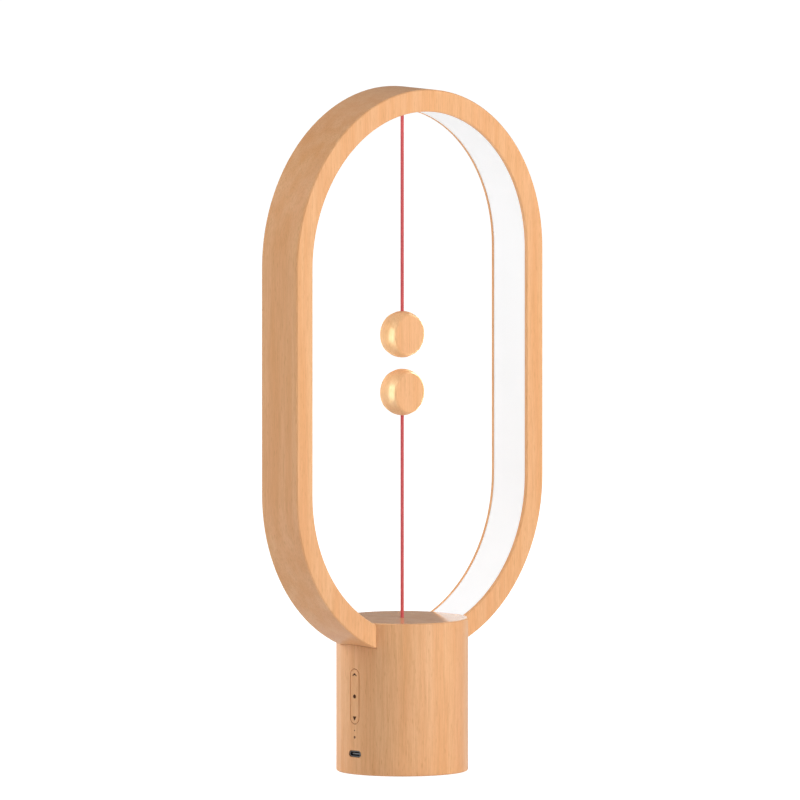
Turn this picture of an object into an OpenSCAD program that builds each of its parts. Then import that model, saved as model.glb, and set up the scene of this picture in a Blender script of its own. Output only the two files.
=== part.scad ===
// Balance lamp: a wooden light ring on a round base, with two corded balls that a pair of
// magnets holds apart in the air. Pulling the balls together lifts a slider in the base and
// closes the switch. Millimetres, +Z up, origin on the table under the middle of the base.
// The ring lies in the XZ plane and its front faces -Y. The key is on the -X side of the base.

/* [Ring] */
// Width of the ring over its outer faces
ring_w = 200; // [170:1:240]
// Length of the two straight sides
straight = 134; // [90:1:170]
// Depth of the ring, front to back
ring_d = 30.5; // [24:0.5:36]
// Thickness of the ring, outer face to inner face
ring_t = 13.1; // [10:0.1:15]
// Wood left under the light groove
groove_floor = 4; // [3:0.5:5]
// Thickness of the wooden lip on each side of the groove
lip_t = 2; // [1.6:0.1:4]
// Small bevel on the ring's edges
ring_bevel = 0.6; // [0.3:0.1:1.2]
// How far the ring's outer face dips below the top of the base
ring_sink = 21.5; // [20:0.5:26]
// Distance between the two ends of the ring inside the base
leg_gap = 32; // [31:0.5:38]
// How far the groove runs in past the side of the base
groove_in = 4.5; // [3.5:0.5:7]

/* [Base] */
// Diameter of the base
base_d = 77.5; // [74:0.5:96]
// Height of the top of the base over the table
base_h = 90.5; // [89:0.5:115]
// Wall of the base
base_wall = 6; // [5:0.25:6.5]
// Bevel round the top and bottom rims
rim_bevel = 0.6; // [0.3:0.1:1.5]
// Gap between the wood and the table
foot_gap = 0.4; // [0.3:0.1:1.5]
// Wood left under the ring's ends
block_under = 4; // [3:0.5:6]

/* [Balls and cords] */
// Diameter of a ball
ball_d = 27.4; // [22:0.1:33]
// Distance between a ball's two flat faces
ball_flat = 14; // [12:0.5:18]
// Rounding of the rim of each flat face
ball_round = 1; // [0.4:0.1:2]
// Gap that the magnets leave between the balls
float_gap = 6.7; // [5:0.1:10]
// How far that gap sits above the middle of the opening
float_rise = 0.4; // [-4:0.1:4]
// Diameter of a cord
cord_d = 2; // [1.4:0.1:2.2]
// Diameter of a magnet
magnet_d = 8; // [6:0.5:10]
// Length of a magnet
magnet_l = 8; // [5:0.5:8]
// Height above the base at which the lower cord starts to bend
lower_bend = 4.5; // [4.3:0.1:8]

/* [Light strip] */
// Thickness of the milky cover
cover_t = 1.5; // [1:0.1:2.5]
// How far the cover lies below the ring's inner face
cover_recess = 0.3; // [0:0.1:1]
// Width of the flexible board
strip_w = 8; // [5:0.5:10]
// Thickness of the flexible board
strip_t = 0.4; // [0.2:0.1:0.8]
// Light chips over the top arc
arc_leds = 18; // [10:2:24]
// Light chips on each straight side
side_leds = 8; // [4:1:12]
// Light chips in each lower arc
low_leds = 6; // [3:1:6]

/* [Key and socket] */
// Width of the key
key_w = 6.8; // [6:0.1:8]
// Length of the key
key_l = 32.1; // [28:0.1:34]
// Height of the key's middle over the table
key_z = 46.5; // [44:0.5:46.5]
// Distance from the middle contact of the key to the outer ones
key_pitch = 12.7; // [11:0.1:13]
// Height of the status light
lamp_z = 22.4; // [21:0.1:24]
// Height of the charging socket
port_z = 12.6; // [11.5:0.1:13]
// Width of the socket's slot in the wood
port_w = 10.2; // [9.8:0.1:12]
// Height of the socket's slot in the wood
port_h = 4; // [3.8:0.1:6]

/* [Pull switch] */
// Travel of the slider
pull_travel = 3; // [2:0.5:3]
// Turns of the return spring
spring_turns = 4.5; // [3:0.5:6]
// Diameter of the spring wire
spring_wire = 0.8; // [0.5:0.1:0.9]

/* [Inside] */
// Thickness of the bottom cover
floor_t = 3; // [2.5:0.5:4]
// Thickness of the foot pad
pad_t = 1.6; // [1.2:0.1:2.5]
// Thickness of the ballast plate
ballast_t = 9.8; // [6:0.1:9.8]
// Battery cell: thickness, width and height
cell = [8, 30, 42];

/* [Clearances] */
// Glue gap round a piece that sits in the wood
glue = 0.1; // [0.05:0.05:0.2]
// Gap of a shaft or slider in its bore
run = 0.05; // [0.03:0.01:0.1]
// Gap round the key in its opening
key_gap = 0.4; // [0.2:0.05:0.5]
// Gap between pieces that are laid in loose
loose = 0.3; // [0.2:0.05:0.5]

/* [Hidden] */
fine = 180;
mid = 64;
small = 32;

wood = "#EDB983";
brass = "#C9A24B";
steel = "#B9BDC2";
dark = "#3A3A3D";
milk = "#F7F7F5";
red = "#C8484F";

// Ring: radii about the centres of its arcs, and the heights of those centres
out_r = ring_w / 2;
in_r = out_r - ring_t;
groove_r = out_r - groove_floor;
arc_lo = base_h - ring_sink + out_r;
arc_hi = arc_lo + straight;
leg_a = acos(leg_gap / 2 / (out_r - ring_t / 2));
base_r = base_d / 2;
groove_a = acos((base_r - groove_in) / ((in_r + groove_r) / 2));

// Base: room inside, and the underside of the solid wooden block that takes the ring's ends
room_r = base_r - base_wall;
block_z = arc_lo - out_r * sin(leg_a) - block_under;
floor_z = pad_t + floor_t;
lid_r = room_r + 1.2;
shelf_z = floor_z + ballast_t + 0.2;
shelf_t = 2;

// Light strip: radii of the cover's face and of the board in the groove
face_r = in_r + cover_recess;
strip_r = groove_r - 0.1;
chip = [2.8, 3.5, 0.7];
lead_d = 2.4;

// Balls and cords: heights
ball_r = ball_d / 2;
float_z = (arc_hi + in_r + base_h) / 2 + float_rise;
upper_z = float_z + float_gap / 2 + ball_r;
lower_z = float_z - float_gap / 2 - ball_r;
cord_r = cord_d / 2;
upper_bend_z = arc_hi + face_r - 1.3;
lower_bend_z = base_h + lower_bend;
bend_gap = 0.1;
magnet_skin = 1.6;
knot_r = 2.2;
cord_step = 5;

ball_bore_r = magnet_d / 2 + glue;
plug_low = magnet_skin + magnet_l + 2 * knot_r + 0.6 - ball_r;
knot_z = plug_low - knot_r - glue;

// Anchor of the upper cord in the ring: barrel, nose through the cover and spigot in the wood
anchor_r = 3;
nose_r = 1.7;
spigot_r = 1.25;
spigot_l = 3;
anchor_top = arc_hi + groove_r - glue;
nose_z = arc_hi + face_r - 0.1;
tail_l = 5.8;

// Screws: thread, head and how far each one bites
tie_r = 1.5;
tie_head_r = 2.8;
tie_head_h = 1.8;
tie_in = 10;
ring_screw = [leg_gap / 2 + 8, 8];
ring_screw_l = 13;
ear_screw_r = 1.4;
ear_screw_in = 8;
ear_head_r = 2.6;
board_screw_r = 1;
board_head = [1.9, 1.2];

// Pull switch: a cup under a plate on the block, and in it the spring and the slider
plate_t = 3;
plate_z = block_z - plate_t;
ear_y = 14.5;
ear_r = 3.6;
ear_bar = 6.4;
cup_r = 9.5;
cup_wall = 1.5;
spring_l = 8;
spring_r = 5.4;
slider_top = plate_z - spring_l;
collar_t = 3;
collar_r = 8.9;
stem_r = 3;
stem_l = 14.3;
stem_low = slider_top - collar_t - stem_l;
pocket_r = 2.3;
pocket_l = 10.8;
pull_knot_r = 2;
pull_knot_z = stem_low + 8.6;
cap_in = 2;
cap_t = 1.2;
cup_low = slider_top - collar_t - pull_travel - loose - cap_in;

// Contacts: a ring on the slider, and two leaves through slots in the cup
ring_h = 0.8;
ring_bore_r = 7.4;
leaf = [6.4, 3, 0.4];
leaf_x = 7.6;
leaf_z = slider_top + ring_h + 0.15;

// Bush that leads the lower cord through the wood
bush_r = 4;
bush_lip_r = 6;
bush_lip_t = 1.5;
bush_hole_r = cord_r + 0.5;
cord_hole_r = cord_r + 0.6;
wood_over_bush = 2;

// Key and board: distances inwards from the axis of the base along -X
skin = 2.5;
ledge_x = base_r - skin;
flange_x = ledge_x - 0.5;
flange_t = 1;
flange_lip = 1.1;
flange_room = 0.4;
boss = [6.4, 5.2];
pad_x = base_r - 5.25;
pivot_x = base_r - 5.55;
pivot_r = 1;
pivot_w = 6.2;
cradle_t = 1.2;
post_r = 1.5;
nib_x = base_r - 7.1;
switch_x = base_r - 7.8;
board_x = base_r - 10.15;
board_t = 1.6;
board_w = 27;
switch_w = 6;
switch_t = 1.5;
button_gap = 0.35;
lens_r = 0.7;
lens_foot_r = 1.6;
usb_shell = [8.94, 3.26];
usb_in = [8.34, 2.56];
usb_tongue = [6.7, 0.7];
usb_mouth = base_r - 0.65;
usb_back = board_x + 1.6;
board_bottom = floor_z + 1.4;
board_top = block_z - 3;
guide_in = [9.4, 10.4];
guide_play = 0.2;
guide_wall = 1.5;
wall_x = board_x - board_t - glue;
wall_t = 2;
wall_w = 23;
gusset = [8, 24];
gusset_t = 1.6;
gusset_y = 9;
screw_y = 8.5;
screw_lo = 20;
screw_hi = board_top - 5.3;

// Leads of the light strip: they start in the end of the groove and end on the control board
lead_y = -6;
lead_room = 0.7;
groove_end = [groove_in - base_r, lead_y, arc_lo - (in_r + groove_r) / 2 * sin(groove_a)];
board_edge = [-board_x, lead_y, block_z];
lead_route = [for (p = [[-5.6, 0], [-3.8, -0.4], [-2.4, -1.4], [-1.4, -3.1]]) groove_end + [p[0], 0, p[1]],
              for (p = [[-4.4, 8.5], [-2, 3.5], [-0.2, -0.3], [0.6, -1.6], [0.7, -2.9]])
                  board_edge + [p[0], 0, p[1]]];
lead_top = groove_end + [-2.65, 0, -0.2];
lead_low = board_edge + [0.7, 0, -2.3];

// Chassis columns and battery
column_r = 3.7;
column_p = room_r - 6.65;
column_a = 57.5;
tray_wall = 1;
tray_h = 9;
cell_x = sqrt(room_r * room_r - cell[1] * cell[1] / 4) - 3.1 - cell[0] / 2;

// ---------------------------------------------------------------- shared shapes

// A flat section, radius along x and depth along y, carried round the ring from the top arc
// down both sides and on through `low` degrees of each lower arc.
module round_ring(low) {
    translate([0, 0, arc_hi]) rotate([90, 0, 0])
        rotate_extrude(angle = 180, $fn = fine) children();
    for (side = [0, 1]) mirror([side, 0, 0]) {
        translate([0, 0, arc_lo]) linear_extrude(straight) children();
        lower_arc(low) children();
    }
}

// The same section through one lower arc, on the +X side
module lower_arc(low) {
    translate([0, 0, arc_lo]) rotate([90, 0, 0]) mirror([0, 1, 0])
        rotate_extrude(angle = low, $fn = fine) children();
}

module both_sides() {
    for (side = [0, 1]) mirror([side, 0, 0]) children();
}

// Slab from r1 to r2, w deep
module band(r1, r2, w) {
    translate([r1, -w / 2]) square([r2 - r1, w]);
}

module bevelled_band(r1, r2, w, b) {
    h = w / 2;
    polygon([[r1 + b, -h], [r2 - b, -h], [r2, b - h], [r2, h - b],
             [r2 - b, h], [r1 + b, h], [r1, h - b], [r1, b - h]]);
}

// A block with full-round ends, y wide and z high, from x1 inwards to x2 on the -X side
module pill(y, z, x1, x2) {
    tall = max(z - y, 0);
    wide = max(y - z, 0);
    translate([-x2, 0, 0]) rotate([0, -90, 0]) linear_extrude(x1 - x2) {
        square(wide > 0 ? [z, wide] : [tall, y], center = true);
        for (s = [-1, 1]) translate(s / 2 * [tall, wide]) circle(min(y, z) / 2, $fn = mid);
    }
}

// A round bar along X on the -X side, from x1 inwards to x2
module bar_x(r, x1, x2) {
    translate([-x1, 0, 0]) rotate([0, 90, 0]) cylinder(r = r, h = x1 - x2, $fn = small);
}

// A box on the -X side, from x1 inwards to x2
module box_x(size, x1, x2) {
    translate([-x1, -size[0] / 2, -size[1] / 2]) cube([x1 - x2, size[0], size[1]]);
}

// A round tube swept along points that lie in a plane of constant y
function unit(v) = v / norm(v);
function heading(p, i) =
    unit(p[min(i + 1, len(p) - 1)] - p[max(i - 1, 0)]);
function tube_points(p, r, sides) =
    [for (i = [0:len(p) - 1])
        let (t = heading(p, i), n = cross([0, 1, 0], t))
            for (k = [0:sides - 1])
                let (a = 360 * k / sides)
                    p[i] + r * (cos(a) * n + sin(a) * [0, 1, 0])];
function tube_faces(rings, sides) = concat(
    [[for (k = [0:sides - 1]) k]],
    [[for (k = [sides - 1:-1:0]) (rings - 1) * sides + k]],
    [for (i = [0:rings - 2]) for (k = [0:sides - 1])
        let (a = i * sides + k, b = i * sides + (k + 1) % sides)
            [a, a + sides, b + sides, b]]);
module tube(p, r, sides = 8) {
    polyhedron(tube_points(p, r, sides), tube_faces(len(p), sides), convexity = 4);
}

// A screw with its thread up from z = 0 and its head below
module screw(r, l, head_r, head_h) {
    cylinder(r = r, h = l, $fn = small);
    translate([0, 0, -head_h]) cylinder(r = head_r, h = head_h, $fn = small);
}

// A straight stretch of cord from z1 up to z2
module cord(z1, z2) {
    steps = max(1, round((z2 - z1) / cord_step));
    tube([for (i = [0:steps]) [0, 0, z1 + (z2 - z1) * i / steps]], cord_r);
}

// ---------------------------------------------------------------- light ring

module light_ring() {
    color(wood) difference() {
        round_ring(leg_a) bevelled_band(in_r, out_r, ring_d, ring_bevel);
        round_ring(groove_a) band(in_r - 1, groove_r, ring_d - 2 * lip_t);
        translate([0, 0, anchor_top - 1]) cylinder(r = spigot_r + run, h = spigot_l + 1.2, $fn = small);
        ring_screw_holes();
        lead_hole();
    }
}

module light_cover() {
    w = ring_d - 2 * lip_t - 2 * glue;
    leg = 1.2;
    color(milk) difference() {
        round_ring(groove_a - 0.3) {
            band(face_r, face_r + cover_t, w);
            for (s = [-1, 1]) translate([0, s * (w - leg) / 2])
                band(face_r + cover_t - 0.2, groove_r - glue, leg);
        }
        translate([0, 0, arc_hi]) cylinder(r = nose_r + glue, h = out_r, $fn = small);
    }
}

module led_board() {
    color("#E8E8E2") difference() {
        round_ring(groove_a - 4) band(strip_r - strip_t, strip_r, strip_w);
        translate([0, 0, arc_hi]) cylinder(r = anchor_r + loose, h = out_r, $fn = small);
    }
}

// One light chip, standing on the board at angle a about the centre of an arc
module chip_at(a) {
    rotate([0, -a, 0]) translate([strip_r - strip_t - chip[2] - glue, -chip[1] / 2, -chip[0] / 2])
        cube([chip[2], chip[1], chip[0]]);
}

module led_chips() {
    side_pitch = straight / side_leds;
    low_pitch = (groove_a - 8) / low_leds;
    color("#F2E27A") {
        for (i = [0:arc_leds - 1])
            translate([0, 0, arc_hi]) chip_at((i + 0.5) * 180 / arc_leds);
        both_sides() {
            for (i = [0:side_leds - 1])
                translate([0, 0, arc_lo + (i + 0.5) * side_pitch]) chip_at(0);
            for (i = [0:low_leds - 1])
                translate([0, 0, arc_lo]) chip_at(-(i + 0.5) * low_pitch);
        }
    }
}

// Hole for the strip's leads through the ring and the block
module lead_hole() {
    way = lead_low - lead_top;
    translate(lead_top) rotate([0, atan2(way[0], way[2]), 0])
        cylinder(r = lead_d / 2 + lead_room, h = norm(way), $fn = small);
}
module led_leads() {
    color(red) tube(lead_route, lead_d / 2);
}

module at_ring_screws() {
    for (sx = [-1, 1]) for (sy = [-1, 1])
        translate([sx * ring_screw[0], sy * ring_screw[1], block_z]) children();
}
module ring_screw_holes() {
    at_ring_screws() translate([0, 0, -1]) cylinder(r = tie_r + run, h = ring_screw_l + 2, $fn = small);
}
module ring_screws() {
    color(steel) at_ring_screws() screw(tie_r, ring_screw_l, tie_head_r, tie_head_h);
}

// ---------------------------------------------------------------- balls and cords

module cord_anchor() {
    color(brass) difference() {
        union() {
            translate([0, 0, nose_z]) cylinder(r = nose_r, h = 2, $fn = small);
            translate([0, 0, arc_hi + face_r + cover_t + glue])
                cylinder(r = anchor_r, h = groove_r - face_r - cover_t - 2 * glue, $fn = small);
            translate([0, 0, anchor_top - 0.5]) cylinder(r = spigot_r, h = spigot_l + 0.5, $fn = small);
        }
        translate([0, 0, nose_z - 1]) cylinder(r = cord_r + glue, h = tail_l + 1.2, $fn = small);
    }
}
module upper_cord_tail() {
    color(red) cord(upper_bend_z + cord_r + bend_gap, nose_z + tail_l);
}
module cord_root(z) {
    color(red) translate([0, 0, z]) sphere(r = cord_r, $fn = small);
}

// Places a piece in the upper ball, or upside down in the lower one; the cord side is +Z
module in_ball(upper) {
    translate([0, 0, upper ? upper_z : lower_z]) mirror([0, 0, upper ? 0 : 1]) children();
}

// Half of a ball's outline: a circle cut off by the two flats, with their rims rounded
module ball_outline() {
    h = ball_flat / 2;
    steps = 6;
    c = [sqrt(pow(ball_r - ball_round, 2) - pow(h - ball_round, 2)), h - ball_round];
    low = atan2(c[1], c[0]);
    rim = [for (i = [0:steps]) let (a = 90 - i * (90 - low) / steps) c + ball_round * [cos(a), sin(a)],
           c * (ball_r + 1) / norm(c)];
    intersection() {
        circle(ball_r, $fn = fine);
        polygon([[0, h], each rim, for (i = [len(rim) - 1:-1:0]) [rim[i][0], -rim[i][1]], [0, -h]]);
    }
}
module ball() {
    color(wood) difference() {
        rotate([90, 0, 0]) rotate_extrude($fn = fine) ball_outline();
        translate([0, 0, magnet_skin - ball_r]) cylinder(r = ball_bore_r, h = ball_d, $fn = mid);
    }
}
module ball_plug() {
    color(wood) intersection() {
        translate([0, 0, plug_low]) difference() {
            cylinder(r = ball_bore_r - run, h = ball_d, $fn = mid);
            translate([0, 0, -1]) cylinder(r = cord_r + glue, h = ball_d + 2, $fn = small);
        }
        rotate([90, 0, 0]) rotate_extrude($fn = fine) intersection() {
            circle(ball_r, $fn = fine);
            translate([0, -ball_r]) square([ball_r, ball_d]);
        }
    }
}
module ball_knot() {
    color(red) difference() {
        translate([0, 0, knot_z - glue]) sphere(r = knot_r, $fn = small);
        translate([0, 0, knot_z - glue]) cylinder(r = cord_r + run, h = knot_r + 1, $fn = small);
    }
}
module ball_magnet() {
    color(steel) translate([0, 0, magnet_skin - ball_r + glue])
        cylinder(d = magnet_d, h = magnet_l, $fn = mid);
}
module upper_cord() {
    color(red) cord(upper_z + knot_z, upper_bend_z - cord_r - bend_gap);
}
module lower_cord() {
    color(red) cord(lower_bend_z + cord_r + bend_gap, lower_z - knot_z);
}

// ---------------------------------------------------------------- base

// Outline of the turned wood: outer side, rebate for the cover, room and solid block
module turned_outline() {
    b = rim_bevel;
    polygon([[0, block_z], [room_r, block_z], [room_r, floor_z + glue],
             [lid_r + glue, floor_z + glue], [lid_r + glue, foot_gap], [base_r - b, foot_gap],
             [base_r, foot_gap + b], [base_r, base_h - b], [base_r - b, base_h], [0, base_h]]);
}
module ring_socket() {
    both_sides() lower_arc(leg_a + 0.3) band(in_r - glue, out_r + glue, ring_d + 2 * glue);
}
module at_columns() {
    for (a = [column_a, 180 - column_a, 180 + column_a, -column_a])
        rotate([0, 0, a]) translate([column_p, 0, 0]) children();
}
module base_body() {
    color(wood) difference() {
        rotate_extrude($fn = fine) turned_outline();
        ring_socket();
        lead_hole();
        // cord and its bush
        cylinder(r = cord_hole_r, h = base_h + 1, $fn = small);
        cylinder(r = bush_r + run, h = base_h - wood_over_bush, $fn = small);
        // screws into the block
        at_columns() translate([0, 0, block_z - 1]) cylinder(r = tie_r + run, h = tie_in + 2, $fn = small);
        ring_screw_holes();
        at_ears() translate([0, 0, -1])
            cylinder(r = ear_screw_r + run, h = plate_t + ear_screw_in + 2, $fn = small);
        // key: opening, room for its flange, room for its guide
        translate([0, 0, key_z]) {
            pill(key_w + 2 * key_gap, key_l + 2 * key_gap, base_r + 1, ledge_x - 1);
            pill(key_w + 2 * (flange_lip + flange_room), key_l + 2 * (flange_lip + flange_room),
                 ledge_x, board_x - 2);
            box_x(guide_in + [1, 1] * 2 * (guide_wall + loose), pivot_x + 0.7, board_x - 2);
        }
        // socket and status light
        translate([0, 0, port_z]) pill(port_w, port_h, base_r + 1, board_x - 2);
        translate([0, 0, lamp_z]) bar_x(lens_r + 0.1, base_r + 1, board_x - 2);
    }
}

module bottom_cover() {
    color(dark) difference() {
        translate([0, 0, pad_t]) cylinder(r = lid_r - glue, h = floor_t, $fn = fine);
        at_columns() {
            translate([0, 0, pad_t - 1]) cylinder(r = tie_r + loose, h = floor_t + 2, $fn = small);
            translate([0, 0, pad_t - 1])
                cylinder(r = tie_head_r + loose, h = tie_head_h + 1 + glue, $fn = small);
        }
    }
}
module foot_pad() {
    color("#55504A") cylinder(r = lid_r - 0.4, h = pad_t - 0.02, $fn = fine);
}
module tie_screws() {
    low = pad_t + tie_head_h + glue;
    color(steel) at_columns() translate([0, 0, low])
        screw(tie_r, block_z + tie_in - low, tie_head_r, tie_head_h);
}
module ballast_plate() {
    color("#6E7278") translate([0, 0, floor_z]) difference() {
        cylinder(r = room_r - 1, h = ballast_t, $fn = fine);
        at_columns() translate([0, 0, -1])
            cylinder(r = column_r + loose, h = ballast_t + 2, $fn = small);
        translate([-room_r - 1, -room_r, -1]) cube([room_r + 1 - wall_x + 1.4, 2 * room_r, ballast_t + 2]);
    }
}
module chassis() {
    color("#D9D9D4") difference() {
        union() {
            at_columns() translate([0, 0, floor_z])
                cylinder(r = column_r, h = block_z - floor_z, $fn = small);
            // shelf, cut away for the board
            translate([0, 0, shelf_z]) intersection() {
                cylinder(r = room_r - 0.8, h = shelf_t, $fn = fine);
                translate([-wall_x, -room_r, 0]) cube([room_r + wall_x, 2 * room_r, shelf_t]);
            }
            // wall behind the board, with two gussets
            translate([-wall_x, -wall_w / 2, shelf_z]) cube([wall_t, wall_w, block_z - 4 - shelf_z]);
            for (s = [-1, 1])
                translate([-wall_x + wall_t, s * gusset_y + gusset_t / 2, shelf_z + shelf_t])
                    rotate([90, 0, 0]) linear_extrude(gusset_t)
                        polygon([[-0.5, -0.5], [gusset[0], -0.5], [-0.5, gusset[1]]]);
            battery_tray();
        }
        at_columns() translate([0, 0, floor_z - 1]) cylinder(r = tie_r + loose, h = block_z, $fn = small);
        at_board_screws() bar_x(board_screw_r + run, wall_x + 1, wall_x - wall_t - 1);
    }
}
module battery_tray() {
    w = tray_wall;
    room = [cell[0] + 2 * loose, cell[1] + 2 * loose];
    translate([cell_x - room[0] / 2 - w, -room[1] / 2 - w, shelf_z]) difference() {
        cube([room[0] + 2 * w, room[1] + 2 * w, shelf_t + tray_h]);
        translate([w, w, shelf_t]) cube([room[0], room[1], tray_h + 1]);
    }
}
module battery_cell() {
    b = 1.2;
    x = cell[0] / 2;
    y = cell[1] / 2;
    color("#8FA9C4") translate([cell_x, 0, shelf_z + shelf_t]) {
        linear_extrude(cell[2] - 1)
            polygon([[b - x, -y], [x - b, -y], [x, b - y], [x, y - b],
                     [x - b, y], [b - x, y], [-x, y - b], [-x, b - y]]);
        translate([-x + 1, -y + 1.5, cell[2] - 1.01]) cube([cell[0] - 2, cell[1] - 3, 1.01]);
    }
}

// ---------------------------------------------------------------- pull switch

module cord_bush() {
    color(milk) difference() {
        union() {
            translate([0, 0, block_z - bush_lip_t]) cylinder(r = bush_lip_r, h = bush_lip_t, $fn = mid);
            translate([0, 0, block_z - 1])
                cylinder(r = bush_r, h = base_h - wood_over_bush - block_z + 1 - glue, $fn = small);
        }
        translate([0, 0, block_z - 5]) cylinder(r = bush_hole_r, h = base_h, $fn = small);
    }
}
module at_ears() {
    for (s = [-1, 1]) translate([0, s * ear_y, plate_z]) children();
}
module switch_housing() {
    color(dark) difference() {
        union() {
            translate([0, 0, cup_low]) cylinder(r = cup_r + cup_wall, h = block_z - cup_low, $fn = mid);
            at_ears() cylinder(r = ear_r, h = plate_t, $fn = small);
            translate([-ear_bar / 2, -ear_y, plate_z]) cube([ear_bar, 2 * ear_y, plate_t]);
        }
        translate([0, 0, cup_low - 1]) cylinder(r = cup_r, h = plate_z - cup_low + 1, $fn = mid);
        translate([0, 0, block_z - bush_lip_t - run]) cylinder(r = bush_lip_r + run, h = 5, $fn = mid);
        translate([0, 0, plate_z - 1]) cylinder(r = cord_r + 0.8, h = plate_t + 2, $fn = small);
        at_ears() translate([0, 0, -1]) cylinder(r = ear_screw_r + 3 * run, h = plate_t + 2, $fn = small);
        translate([0, 0, leaf_z + leaf[2] / 2])
            cube([3 * cup_r, leaf[1] + 4 * run, leaf[2] + 2 * run], center = true);
    }
}
module housing_cap() {
    color(dark) difference() {
        union() {
            translate([0, 0, cup_low - cap_t]) cylinder(r = cup_r + cup_wall, h = cap_t, $fn = mid);
            translate([0, 0, cup_low - 0.5]) cylinder(r = cup_r - run, h = cap_in + 0.5, $fn = mid);
        }
        translate([0, 0, cup_low - cap_t - 1]) cylinder(r = stem_r + run, h = cap_t + cap_in + 2, $fn = mid);
    }
}
module housing_screws() {
    color(steel) at_ears() screw(ear_screw_r, plate_t + ear_screw_in, ear_head_r, tie_head_h);
}
module contact_leaves() {
    color(brass) both_sides() translate([leaf_x, -leaf[1] / 2, leaf_z]) cube(leaf);
}
module contact_ring() {
    color(brass) translate([0, 0, slider_top]) difference() {
        cylinder(r = collar_r, h = ring_h, $fn = mid);
        translate([0, 0, -1]) cylinder(r = ring_bore_r, h = ring_h + 2, $fn = mid);
    }
}
module pull_slider() {
    color("#E9E4DA") difference() {
        union() {
            translate([0, 0, slider_top - collar_t]) cylinder(r = collar_r, h = collar_t, $fn = mid);
            translate([0, 0, stem_low]) cylinder(r = stem_r, h = stem_l + 1, $fn = mid);
        }
        // pocket for the knot, and the cord's hole above it
        translate([0, 0, stem_low - 1]) cylinder(r = pocket_r, h = pocket_l + 1, $fn = small);
        translate([0, 0, stem_low]) cylinder(r = cord_r + 3 * run, h = stem_l + collar_t + 1, $fn = small);
    }
}
module pull_knot() {
    color(red) translate([0, 0, pull_knot_z]) difference() {
        sphere(r = pull_knot_r, $fn = small);
        cylinder(r = cord_r + run, h = pull_knot_r + 1, $fn = small);
    }
}
module pull_cord() {
    color(red) cord(pull_knot_z + glue, lower_bend_z - cord_r - bend_gap);
}
module return_spring() {
    w = spring_wire / 2;
    z1 = slider_top + w + run;
    z2 = plate_z - w - run;
    per_turn = 16;
    steps = per_turn * spring_turns;
    points = [for (i = [0:steps])
        let (a = 360 * i / per_turn, c = [spring_r * cos(a), spring_r * sin(a), z1 + (z2 - z1) * i / steps])
            for (b = [0:60:300]) c + w * [cos(b) * cos(a), cos(b) * sin(a), sin(b)]];
    color(steel) polyhedron(points, tube_faces(steps + 1, 6), convexity = 8);
}

// ---------------------------------------------------------------- key and board

module key_cap() {
    color(wood) difference() {
        union() {
            intersection() {
                translate([0, 0, key_z]) pill(key_w, key_l, base_r + 1, flange_x - flange_t);
                cylinder(r = base_r, h = base_h, $fn = fine);
            }
            translate([0, 0, key_z]) {
                pill(key_w + 2 * flange_lip, key_l + 2 * flange_lip, flange_x, flange_x - flange_t);
                box_x(boss, flange_x - 0.5, pad_x);
                for (s = [-1, 1]) translate([0, 0, s * key_pitch]) bar_x(post_r, flange_x - 0.5, nib_x);
            }
        }
        translate([-pivot_x, 0, key_z]) rotate([90, 0, 0])
            cylinder(r = pivot_r + run, h = boss[0] + 2, center = true, $fn = small);
    }
}
module key_cradle() {
    color(dark) translate([0, 0, key_z]) {
        box_x(guide_in - [1, 1] * 2 * guide_play, pivot_x, pivot_x - cradle_t);
        translate([-pivot_x, 0, 0]) rotate([90, 0, 0])
            cylinder(r = pivot_r, h = pivot_w, center = true, $fn = small);
        bar_x(post_r, pivot_x - cradle_t + 0.1, switch_x + button_gap);
    }
}
module key_guide() {
    color("#D9D9D4") translate([0, 0, key_z]) difference() {
        box_x(guide_in + [1, 1] * 2 * guide_wall, pivot_x + 0.4, board_x);
        box_x(guide_in, pivot_x + 2, board_x - 1);
    }
}
module key_switches() {
    color(dark) for (s = [-1:1]) translate([0, 0, key_z + s * key_pitch]) {
        box_x([switch_w, switch_w], board_x + switch_t, board_x);
        bar_x(post_r, switch_x, board_x + switch_t - 0.5);
    }
}
module at_board_screws() {
    for (y = [-screw_y, screw_y]) for (z = [screw_lo, screw_hi]) translate([0, y, z]) children();
}
module control_board() {
    color("#2F6B3F") difference() {
        translate([-board_x, -board_w / 2, board_bottom]) cube([board_t, board_w, board_top - board_bottom]);
        at_board_screws() bar_x(board_screw_r + 3 * run, board_x + 1, board_x - board_t - 1);
    }
}
module board_screws() {
    color(steel) at_board_screws() {
        bar_x(board_screw_r, board_x + 0.5, wall_x - wall_t + 0.2);
        bar_x(board_head[0], board_x + board_head[1], board_x);
    }
}
module board_parts() {
    // controller, coil, capacitors and the status light's chip
    color("#2B2B30") {
        translate([0, 8, 36]) box_x([5, 5], board_x + 0.9, board_x);
        translate([0, -8.5, 35]) box_x([4, 4], board_x + 2, board_x);
        for (z = [27, 30]) translate([0, -9, z]) box_x([3.2, 1.6], board_x + 1.2, board_x);
        translate([0, 9, 29]) box_x([3.2, 1.6], board_x + 1.2, board_x);
        translate([0, 0, lamp_z]) box_x([1.6, 1.6], board_x + 0.8, board_x);
    }
}
module status_lens() {
    color(milk) translate([0, 0, lamp_z]) {
        bar_x(lens_r, base_r - 0.1, board_x + 1);
        bar_x(lens_foot_r, board_x + 3, board_x + 1);
    }
}
module usb_socket() {
    // drawn shell with a closed back, and the tongue that carries the contacts
    color(steel) translate([0, 0, port_z]) {
        difference() {
            pill(usb_shell[0], usb_shell[1], usb_mouth, board_x);
            pill(usb_in[0], usb_in[1], usb_mouth + 1, usb_back);
        }
        box_x(usb_tongue, usb_mouth - 1, usb_back - 0.5);
    }
}
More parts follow.
